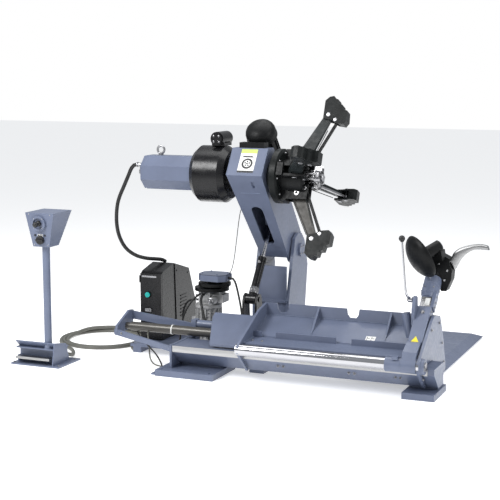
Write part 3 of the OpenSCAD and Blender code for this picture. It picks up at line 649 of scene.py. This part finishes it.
bm = bmesh.new()
weld(bm, P(-767, 105, 150), P(-767, 105, 187), 3)
weld(bm, P(-781, 100, 41), P(-781, 330, 41), 3.5)
weld(bm, P(-767, 110, 188.5), P(-767, 330, 188.5), 3)
weld(bm, P(935, 105, 150), P(935, 212, 52), 3)
weld(bm, P(-574, 975, 46), P(-574, 1295, 46), 4)
weld(bm, P(-306, 975, 46), P(-306, 1295, 46), 4)
weld(bm, P(-551, 977, 60), P(-551, 977, 580), 3)
weld(bm, P(-329, 977, 60), P(-329, 977, 580), 3)
weld(bm, P(-1260, 560, 62), P(-760, 560, 62), 2.5)
weld(bm, P(-783, 113, 145), P(-783, 113, 174), 3)
weld(bm, P(-1228, 229, 192), P(-1228, 229, 226), 2.5)
ring = [P(-1622 + 27 * math.cos(math.radians(a)),
          12 + 27 * math.sin(math.radians(a)), 113) for a in range(0, 361, 20)]
for a, b in zip(ring, ring[1:]):
    weld(bm, a, b, 2.6)
ring = [P(-1622 + 27 * math.cos(math.radians(a)),
          12 + 27 * math.sin(math.radians(a)), 789) for a in range(0, 361, 20)]
for a, b in zip(ring, ring[1:]):
    weld(bm, a, b, 2.2)
obj("base_welds", bm, weldm, "base", smooth=60)

# cabinet furniture: latch, hinges, louvres, button ring
bm = bmesh.new()
boxm(bm, (-1262, 689, 262), (-1214, 700, 284), 0, 2)
boxm(bm, (-1252, 681, 268), (-1224, 690, 278), 0, 2)
boxm(bm, (-1288, 696.5, 500), (-1176, 700.5, 512), 0, 1)
obj("door_hardware", bm, steel, "cabinet_door", smooth=40)
bm = bmesh.new()
for z in (120, 460):
    lathe(bm, P(-1303.5, 699.5, z), (0, 0, 1), [(4.5, 0), (5, 1), (5, 49),
          (4.5, 50)], 20)
obj("door_hinges", bm, satin, "base")
bm = bmesh.new()
lathe(bm, P(-1240, 701, 380), (0, -1, 0), [(18.6, 0), (23, 1), (23, 6),
      (21, 8), (18.6, 8)], 48, ring=True)
obj("button_ring", bm, satin, "cabinet_door")
bm = bmesh.new()
for i in range(7):
    z = 180 + 24 * i
    boxm(bm, (-1134.5, 990, z), (-1129, 1090, z + 10), 0, 1.5)
for y, z in ((935, 150), (1240, 150), (930, 520), (1110, 480)):
    lathe(bm, P(-1134.4, y, z), (1, 0, 0), [(6, 0), (6, 2), (4, 4),
          (0, 4.4)], 20)
obj("cabinet_louvres", bm, gloss, "base")

# power unit: fittings, dipstick cap, terminal box cover, small pipes
bm = bmesh.new()
oc = [(-104, -30), (-70, -78), (62, -88), (104, -50), (104, 50), (62, 88),
      (-70, 88), (-104, 50)]
rows = []
for z, k in ((489.5, 1.02), (527, 1.02), (536, 0.98)):
    rows.append([bm.verts.new(P(-800 + x * k, 840 + y * k, z))
                 for x, y in oc])
for r0, r1 in zip(rows, rows[1:]):
    for i in range(8):
        j = (i + 1) % 8
        bm.faces.new((r0[i], r0[j], r1[j], r1[i]))
bm.faces.new(rows[0])
bm.faces.new(rows[-1])
for i in (0, 2, 4, 6):
    x, y = oc[i]
    bolt(bm, P(-800 + x * 0.78, 840 + y * 0.78, 536), (0, 0, 1), 5)
obj("reservoir_cover", bm, blue, "base", smooth=30)
bm = bmesh.new()
vs = [(236, 192), (428, 210), (456, 262), (456, 314), (404, 320),
      (236, 246)]
va = [bm.verts.new(P(-1244.2, y, z)) for y, z in vs]
vb = [bm.verts.new(P(-1247.2, y, z)) for y, z in vs]
for i in range(6):
    j = (i + 1) % 6
    bm.faces.new((va[i], va[j], vb[j], vb[i]))
bm.faces.new(va)
bm.faces.new(vb)
obj("bracket_cover", bm, satin, "base", smooth=0)
bm = bmesh.new()
for x, y in ((-905, 805), (-905, 895), (-797, 805), (-797, 895)):
    bolt(bm, P(x, y, 352), (0, 0, 1), 6)
for i in range(3):
    lathe(bm, P(-750, 815 + 32 * i, 419), (0, 0, 1), [(7, 0), (7, 5),
          (4, 7), (4, 11), (0, 11.5)], 20)
for z in (345, 375):
    lathe(bm, P(-905, 830, z), (-1, 0, 0), [(11, -4), (11, 8), (8, 10),
          (8, 24), (10, 24), (10, 32), (6, 34)], 6)
lathe(bm, P(-780, 730, 360), (0, -1, 0), [(24, 0), (24, 10), (18, 13),
      (12, 13), (12, 26), (9, 28)], 32)
for x in (-870, -840):
    lathe(bm, P(x, 780, 400), (0, -1, 0), [(10, -3), (10, 8), (7, 9),
          (7, 20), (9, 20), (9, 27), (5, 28)], 6)
obj("power_fittings", bm, steel, "base", smooth=35)
bm = bmesh.new()
boxm(bm, (-955, 796, 126), (-946, 904, 234), 0, 3)
for i in range(9):
    lathe(bm, P(-850, 850, 96 + 24 * i), (0, 0, 1), [(79, 0), (84, 3),
          (84, 7), (79, 10)], 64, ring=True)
obj("motor_ribs", bm, castgrey, "base", smooth=35)
small_cord("pump_hose_1", [(-905, 830, 345), (-945, 828, 345),
           (-1000, 830, 325), (-1040, 845, 260), (-1060, 870, 180),
           (-1090, 900, 120), (-1133, 930, 112)], 7, rubber, "base")
small_cord("pump_hose_2", [(-840, 752, 400), (-838, 715, 398),
           (-820, 660, 360), (-780, 620, 270), (-735, 590, 160),
           (-700, 560, 90), (-660, 520, 48)], 9, rubber, "base")
small_cord("pump_hose_3", [(-870, 752, 400), (-872, 720, 396),
           (-900, 680, 360), (-940, 650, 280), (-960, 640, 180),
           (-968, 634, 100), (-970, 632, 61)], 6.5, rubber, "base")
small_cord("cap_hose", [(-702, 836, 508), (-672, 832, 512), (-640, 820, 490),
           (-600, 790, 400), (-560, 750, 280), (-545, 720, 160),
           (-540, 700, 47)], 7, rubber, "base")

# thin lines under the traverse barrel and a white tie round it
small_cord("traverse_line_1", [(-1150, 360, 199), (-1135, 345, 186),
           (-1090, 300, 168), (-1020, 250, 140), (-940, 210, 96),
           (-900, 200, 50), (-880, 190, 14)], 5, rubber, "base")
small_cord("traverse_line_2", [(-1060, 345, 201), (-1050, 320, 190),
           (-1010, 260, 120), (-980, 215, 60), (-940, 190, 30),
           (-885, 180, 22), (-850, 178, 20)], 5, cablegrey, "base")
bm = bmesh.new()
for x in (-885,):
    lathe(bm, P(x, 360, 229), (1, 0, 0), [(29.5, -4), (32.5, -4), (32.5, 4),
          (29.5, 4)], 64, ring=True)
boxm(bm, (-889, 326, 208), (-881, 336, 222), 0, 1)
obj("barrel_ties", bm, nylon, "base")
bm = bmesh.new()
q = path_h = resample(spline(hose_pts, 10), 40)
lathe(bm, P(-1289, 670, 1278), (-1, 0, 0), [(12.5, 0), (17, 1), (17, 7),
      (12.5, 8)], 32, ring=True)
obj("union_ferrule", bm, steel, "boom")

# console: bezel screws, small keys, plain label plates
fa = math.radians(94.42)
fn = Vector((0, -math.sin(fa), math.cos(fa)))
fu = Vector((0, -math.cos(fa), -math.sin(fa)))
fx = Vector((1, 0, 0))


def face(x, z, o=0.0):
    return P(x, -62 + (1010 - z) * 17 / 220, z) + fn * (o / 1000)


bm = bmesh.new()
for a in range(45, 405, 90):
    lathe(bm, face(-1628 + 43 * math.cos(math.radians(a)),
                   943 + 43 * math.sin(math.radians(a)), 14), fn,
          [(3.2, -0.5), (3.2, 1), (2, 2), (0, 2.2)], 16)
for x in (-1662, -1590):
    lathe(bm, face(x, 866), fn, [(7, -0.5), (7, 2), (5, 6), (0, 7)], 24, 1)
for x, z in ((-1700, 1000), (-1544, 1000), (-1672, 802), (-1572, 802)):
    lathe(bm, face(x, z), fn, [(4, -0.5), (4, 1), (2.5, 2.2), (0, 2.4)], 16)
obj("console_trim", bm, steel, "base", smooth=40,
    mats=[steel, plastic])
bm = bmesh.new()
plate(bm, face(-1643, 858, -0.2), fx, -fu, [(0, 0), (38, 0), (38, 15),
      (0, 15)], 0.8, 0)
plate(bm, face(-1640, 861, 0.4), fx, -fu, [(0, 0), (9, 0), (9, 9), (0, 9)],
      0.5, 1)
plate(bm, face(-1626, 861, 0.4), fx, -fu, [(0, 0), (18, 0), (18, 3),
      (0, 3)], 0.5, 1)
plate(bm, face(-1626, 867, 0.4), fx, -fu, [(0, 0), (18, 0), (18, 3),
      (0, 3)], 0.5, 1)
obj("console_label", bm, white, "base", smooth=0,
    mats=[white, ink])

# boom: label plate with a wheel pictogram, bolts, weld line
wn = Vector((0, -633, -575)).normalized()
wu = Vector((0, -575, 633)).normalized()


def wall(x, s, o=0.0):
    """Point on the boom's sloping front wall, s mm below its upper edge."""
    p = P(x, 500, 1245) - wu * (s / 1000)
    return p + wn * (o / 1000)


bn = Vector((0, -170, 112)).normalized()
bu = Vector((0, 112, 170)).normalized()


def brow(x, s, o=0.0):
    """Point on the boom's upper front face, s mm above its lower edge."""
    return P(x, 500, 1245) + bu * (s / 1000) + bn * (o / 1000)


bm = bmesh.new()
O = brow(-494, 22, -0.2)
W, H = 112, 172
plate(bm, O, fx, bu, [(0, 0), (W, 0), (W, H), (0, H)], 1.0, 0)
O2 = brow(-494, 22, 0.7)
plate(bm, O2, fx, bu, [(0, H - 30), (W, H - 30), (W, H), (0, H)], 0.5, 1)
plate(bm, O2, fx, bu, [(0, 0), (W, 0), (W, 14), (0, 14)], 0.5, 2)


def ringpts(cx, cy, r, n=40):
    return [(cx + r * math.cos(2 * math.pi * i / n),
             cy + r * math.sin(2 * math.pi * i / n)) for i in range(n)]


plate(bm, O2, fx, bu, ringpts(58, 66, 38), 0.5, 2)
O3 = brow(-494, 22, 1.15)
plate(bm, O3, fx, bu, ringpts(58, 66, 25), 0.4, 0)
O4 = brow(-494, 22, 1.5)
for k in range(5):
    a = math.radians(72 * k + 18)
    plate(bm, O4, fx, bu, ringpts(58 + 15 * math.cos(a),
                                  66 + 15 * math.sin(a), 5.5, 20), 0.3, 2)
plate(bm, O4, fx, bu, ringpts(58, 66, 6, 20), 0.3, 2)
plate(bm, O3, fx, bu, [(14, 112), (96, 112), (84, 122), (26, 122)], 0.4, 2)
obj("boom_label", bm, white, "boom", smooth=0,
    mats=[white, green, ink])
bm = bmesh.new()
weld(bm, wall(-508, 168), wall(-372, 168), 2.6)
weld(bm, P(-563, 500, 1246), P(-563, 612, 1414), 2.4)
weld(bm, P(-317, 500, 1246), P(-317, 612, 1414), 2.4)
obj("boom_welds", bm, weldm, "boom", smooth=60)
bm = bmesh.new()
for k in range(8):
    a = math.radians(22.5 + 45 * k)
    bolt(bm, P(-1233, 700 + 92 * math.cos(a), 1232 + 92 * math.sin(a)),
         (-1, 0, 0), 7)
for k in range(12):
    a = math.radians(30 * k)
    bolt(bm, P(-849, 700 + 140 * math.cos(a), 1232 + 140 * math.sin(a)),
         (-1, 0, 0), 7)
for x in (-735, -645):
    for y in (672, 768):
        bolt(bm, P(x + (8 if x < -700 else -8), y, 1440), (0, 0, 1), 5)
for k in range(4):
    a = math.radians(45 + 90 * k)
    bolt(bm, P(-690 + 26 * math.cos(a), 628, 1467 + 26 * math.sin(a)),
         (0, -1, 0), 5)
obj("boom_fasteners", bm, steel, "boom", smooth=35)
bl = resample(spline([P(-566, 800, 1010), P(-578, 800, 1003),
                      P(-592, 802, 970), P(-606, 806, 900),
                      P(-624, 812, 780), P(-644, 820, 660),
                      P(-662, 828, 590), P(-680, 836, 552),
                      P(-694, 842, 540)], 10), 32)
bo = mesh_tube("boom_line", bl, 2.5, rubber, 10)
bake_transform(bo)

# domed cap of the spin motor, with its seam and ribs
ax = Vector((0, math.sin(math.radians(137.8)), math.cos(math.radians(137.8))))
bm = bmesh.new()
prof = [(0, -44), (22, -43), (44, -39.5), (62, -33.5), (78, -24.5),
        (89, -14), (96, -2), (100, 12), (101.5, 26), (101.5, 52),
        (104, 54), (104, 62), (101.5, 64), (97, 68), (94.6, 70),
        (94.6, 40), (94.3, 0.5)]
lathe(bm, P(-430, 750, 1525), ax, prof, 96)
for k in range(24):
    a = math.radians(15 * k)
    uu, vv, aa = basis(ax)
    dv = uu * math.cos(a) + vv * math.sin(a)
    lathe(bm, P(-430, 750, 1525) + aa * 0.012 + dv * 0.0995, aa,
          [(0, 0), (2.4, 3), (2.4, 36), (0, 39)], 8)
obj("motor_cap", bm, satin, "boom", smooth=35)

# blocks between the arm brackets of the chuck
bm = bmesh.new()
for adeg in (68, -22, 248, 158):
    a = math.radians(adeg)
    e1 = Vector((0, math.cos(a), math.sin(a)))
    e2 = Vector((0, -math.sin(a), math.cos(a)))
    pq = [(43, 43), (112, 43), (106, 66), (90, 90), (66, 106), (43, 112)]
    rows = []
    for x, k in ((-177.5, 1.0), (-84, 1.0), (-76, 0.93)):
        rows.append([bm.verts.new(Vector(P(x, 700, 1232)) + (
            e1 * (43 + (p - 43) * k) + e2 * (43 + (q_ - 43) * k)) / 1000)
            for p, q_ in pq])
    for r0, r1 in zip(rows, rows[1:]):
        for i in range(6):
            j = (i + 1) % 6
            bm.faces.new((r0[i], r0[j], r1[j], r1[i]))
    bm.faces.new(rows[0])
    bm.faces.new(rows[-1])
obj("chuck_quadrants", bm, satin, "chuck", smooth=25)

# chuck: bright links and pins at the hub
bm = bmesh.new()
lathe(bm, P(0, 700, 1232), (1, 0, 0), [(36, 0), (46, 2), (46, 18), (43, 22),
      (24, 22), (24, 30), (21, 33), (0, 33)], 48)
for adeg in (68, -22, 248, 158):
    a = math.radians(adeg)
    er = Vector((0, math.cos(a), math.sin(a)))
    et = Vector((0, -math.sin(a), math.cos(a)))
    ctr = Vector(P(0, 700, 1232))

    def at(x, r, t):
        return ctr + (Vector((x, 0, 0)) + er * r + et * t) / 1000
    for t in (-23, 17.5):
        pl = [(-19, 30), (22, 30), (22, 60), (16, 74), (4, 80), (-10, 78),
              (-19, 66)]
        va = [bm.verts.new(at(x, r, t)) for x, r in pl]
        vb = [bm.verts.new(at(x, r, t + 5.5)) for x, r in pl]
        for i in range(len(pl)):
            j = (i + 1) % len(pl)
            bm.faces.new((va[i], va[j], vb[j], vb[i]))
        bm.faces.new(va)
        bm.faces.new(vb)
    lathe(bm, at(2, 62, -27), et, [(9, 0), (10, 1), (10, 53), (9, 54)], 24)
obj("hub_links", bm, steel, "chuck_hub", smooth=35)
bm = bmesh.new()
for adeg in (68, -22, 248, 158):
    a = math.radians(adeg)
    er = Vector((0, math.cos(a), math.sin(a)))
    et = Vector((0, -math.sin(a), math.cos(a)))
    ctr = Vector(P(0, 700, 1232))
    for x, r, rad in ((-120, 120, 13), (-70, 86, 7.5)):
        for s in (-1, 1):
            c = ctr + (Vector((x, 0, 0)) + er * r + et * (42 * s)) / 1000
            lathe(bm, c, et * s, [(rad + 5, 0), (rad + 5, 3), (rad + 2, 6),
                                  (rad - 4, 6), (rad - 4, 3.6), (0, 3.6)], 32)
for k in range(8):
    a = math.radians(45 * k)
    bolt(bm, P(-230, 700 + 150 * math.cos(a), 1232 + 150 * math.sin(a)),
         (1, 0, 0), 7)
obj("chuck_pins", bm, steel, "chuck", smooth=35)
for j, adeg in enumerate((68, -22, 248, 158), 1):
    a = math.radians(adeg)
    er = Vector((0, math.cos(a), math.sin(a)))
    et = Vector((0, -math.sin(a), math.cos(a)))
    ctr = Vector(P(0, 700, 1232))
    bm = bmesh.new()
    for x, r, rad in ((20, 415, 10), (70, 381, 8)):
        for s in (-1, 1):
            c = ctr + (Vector((x, 0, 0)) + er * r + et * (36 * s)) / 1000
            lathe(bm, c, et * s, [(rad + 6, -0.4), (rad + 6, 3),
                                  (rad + 3, 5.5), (0, 6)], 6)
    obj("jaw_pins_%d" % j, bm, steel, "jaw_%d" % j, smooth=35)
    # folded edge ribs on each clamping arm
    bm = bmesh.new()
    pa = (-150, 158)
    pb = (-1, 424)
    for (x0, r0), (x1, r1) in (((-149, 160), (-22, 391)),
                               ((-60, 148), (10, 328))):
        for s in (-22.3, 6.3):
            p0 = ctr + (Vector((x0, 0, 0)) + er * r0 + et * s) / 1000
            p1 = ctr + (Vector((x1, 0, 0)) + er * r1 + et * s) / 1000
            dd = (p1 - p0)
            lathe(bm, p0, dd, [(0, 0), (2.6, 3), (2.6,
                  dd.length * 1000 - 3), (0, dd.length * 1000)], 10)
    obj("arm_ribs_%d" % j, bm, armsteel, "arm_%d" % j)

# carriage: labels, bolts, end cap, adjusters
bm = bmesh.new()
lathe(bm, P(892.5, 58, 210), (1, 0, 0), [(0, 0), (26, 0), (28, 1), (28, 3),
      (26, 5), (12, 5.6), (10, 4), (0, 4)], 48)
for y, z in ((120, 120), (300, 380), (480, 390), (560, 250), (610, 120)):
    bolt(bm, P(864, y, z), (1, 0, 0), 8)
for y, z in ((70, 215), (300, 330), (470, 380)):
    bolt(bm, P(-292, y, z), (-1, 0, 0), 8)
for x in (-245, -180, 735, 800):
    bolt(bm, P(x, 180, 247.5), (0, 0, 1), 7)
obj("carriage_fasteners", bm, steel, "carriage", smooth=35)
bm = bmesh.new()
lathe(bm, P(863.4, 58, 210), (1, 0, 0), [(37.2, 0), (49.4, 0), (49.4, 8.8),
      (45.4, 10.4), (45.4, 27), (42.5, 29.4), (0, 29.4)], 64)
obj("bar_end_cover", bm, blue, "carriage", smooth=35)
bm = bmesh.new()
weld(bm, P(-275, 284, 256), P(-275, 498, 353), 2.6)
weld(bm, P(-275, 108, 246), P(-275, 266, 253), 2.4)
weld(bm, P(845, 284, 256), P(845, 498, 353), 2.6)
weld(bm, P(-274, 499, 354), P(844, 499, 354), 2.4, 9)
for x in (74, 86, 551, 563):
    weld(bm, P(x, 304, 264), P(x, 498, 353), 2.2)
obj("carriage_welds", bm, weldm, "carriage", smooth=60)
bm = bmesh.new()
sl = Vector((0, 220, 100)).normalized()
O = P(438, 318, 252 + 38 * 100 / 220) + Vector((0, 0, 0.0002))
plate(bm, O, fx, sl, [(0, 0), (62, 0), (62, 58), (0, 58)], 0.8, 0)
O = O + fx.cross(sl).normalized() * 0.0007
for a, b, c, e in ((6, 6, 26, 26), (36, 6, 56, 26), (6, 34, 26, 52),
                   (36, 34, 56, 52)):
    plate(bm, O, fx, sl, [(a, b), (c, b), (c, b + 4), (a + 4, b + 4),
                          (a + 4, e), (a, e)], 0.4, 1)
obj("tray_label", bm, white, "carriage", smooth=0,
    mats=[white, ink])

# tool arm: fittings, a plain yellow mark and the tube's white plate
ta = Vector((0, math.sin(math.radians(48)), math.cos(math.radians(48))))
tu = Vector((0, math.cos(math.radians(48)), -math.sin(math.radians(48))))
TO = P(796, 150, 245)


def arm(x, y, s):
    return TO + (fx * x + tu * y + ta * s) / 1000


bm = bmesh.new()
for s in (100, 320):
    for y in (-26, 26):
        bolt(bm, arm(-44, y, s), (-1, 0, 0), 6)
        bolt(bm, arm(44, y, s), (1, 0, 0), 6)
bolt(bm, arm(0, -42, 300), -tu, 9)
lathe(bm, P(704, 345, 548), (-1, 0, 0), [(8, -1), (11, 0), (11, 4),
      (6, 6), (0, 6)], 24)
obj("arm_fasteners", bm, steel, "tool_arm", smooth=35)
bm = bmesh.new()
weld(bm, P(714, 345, 350), P(714, 345, 425), 2.2)
weld(bm, P(750, 345, 372), P(750, 345, 428), 2.2)
obj("arm_welds", bm, weldm, "tool_arm", smooth=60)
bm = bmesh.new()
plate(bm, arm(-26, -42.0, 78), fx, ta, [(0, 0), (46, 0), (23, 41)], 0.8, 0)
obj("arm_mark", bm, yellow, "tool_arm", smooth=0)
bm = bmesh.new()
plate(bm, arm(-31, -33.1, 352), fx, ta, [(0, 0), (62, 0), (62, 72),
      (0, 72)], 0.8, 1)
plate(bm, arm(-6, -33.9, 362), fx, ta, [(0, 0), (30, 0), (30, 52),
      (0, 52)], 0.6, 0)
plate(bm, arm(-34.1, 28, 352), -tu, ta, [(0, 0), (58, 0), (58, 72),
      (0, 72)], 0.8, 1)
obj("tube_label", bm, white, "arm_extension", smooth=0,
    mats=[white, steel])
bm = bmesh.new()
for k in range(6):
    a = math.radians(60 * k)
    c = TO + ta * 0.493
    bolt(bm, c + (fx * math.cos(a) + tu * math.sin(a)) * 0.0538,
         fx * math.cos(a) + tu * math.sin(a), 5, washer=False)
for s in (365, 400, 445):
    bolt(bm, arm(52, -8, s), (1, 0, 0), 6)
obj("extension_fasteners", bm, steel, "arm_extension",
    smooth=35)
bm = bmesh.new()
for x, z in ((800, 785), (850, 768), (868, 640), (884, 700), (830, 740)):
    bolt(bm, P(x, 575, z), (0, -1, 0), 7, washer=False)
for x, z in ((905, 752), (905, 728)):
    bolt(bm, P(x - 12, 605, z), (0, -1, 0), 5, washer=False)
lathe(bm, P(750, 460, 797) - A * 0.136, -A, [(36, 0), (30, 6), (18, 9),
      (0, 10)], 40)
obj("head_fasteners", bm, steel, "tool_head", smooth=35)

# lift cylinder gland and port fittings
ja = math.atan2(481, 360)
jd = Vector((0, math.cos(ja), math.sin(ja)))
bm = bmesh.new()
J0 = P(-440, 640, 417)
lathe(bm, J0 + jd * 0.300, jd, [(26, 0), (31, 1), (31, 12), (24, 15),
      (12.4, 15), (12.4, 0)], 6, ring=True)
for s in (50, 262):
    pn = Vector((0, -math.sin(ja), math.cos(ja)))
    lathe(bm, J0 + jd * (s / 1000) + pn * 0.025, pn, [(10, 0), (10, 12),
          (8, 14), (8, 22), (6, 24)], 6)
lathe(bm, J0 + jd * 0.036, jd, [(26.5, 0), (31, 2), (31, 42), (29, 46),
      (26.5, 46)], 40, ring=True)
obj("lift_gland", bm, steel, "lift_barrel", smooth=35)

# floor
bm = bmesh.new()
S = 30
for x, y in ((-S, -S), (S, -S), (S, S), (-S, S)):
    bm.verts.new((x, y, 0))
bm.verts.ensure_lookup_table()
bm.faces.new(bm.verts)
me = bpy.data.meshes.new("floor")
bm.to_mesh(me)
bm.free()
fl = bpy.data.objects.new("floor", me)
bpy.context.scene.collection.objects.link(fl)
fm = bpy.data.materials.new("floor_white")
fm.use_nodes = True
fm.node_tree.nodes["Principled BSDF"].inputs["Base Color"].default_value = (
    0.95, 0.95, 0.95, 1)
fm.node_tree.nodes["Principled BSDF"].inputs["Roughness"].default_value = 0.9
fm.node_tree.nodes["Principled BSDF"].inputs["Specular IOR Level"
                                             ].default_value = 0.1
fm.node_tree.nodes["Principled BSDF"].inputs["Emission Color"
                                             ].default_value = (1, 1, 1, 1)
fm.node_tree.nodes["Principled BSDF"].inputs["Emission Strength"
                                             ].default_value = 0.44
me.materials.append(fm)
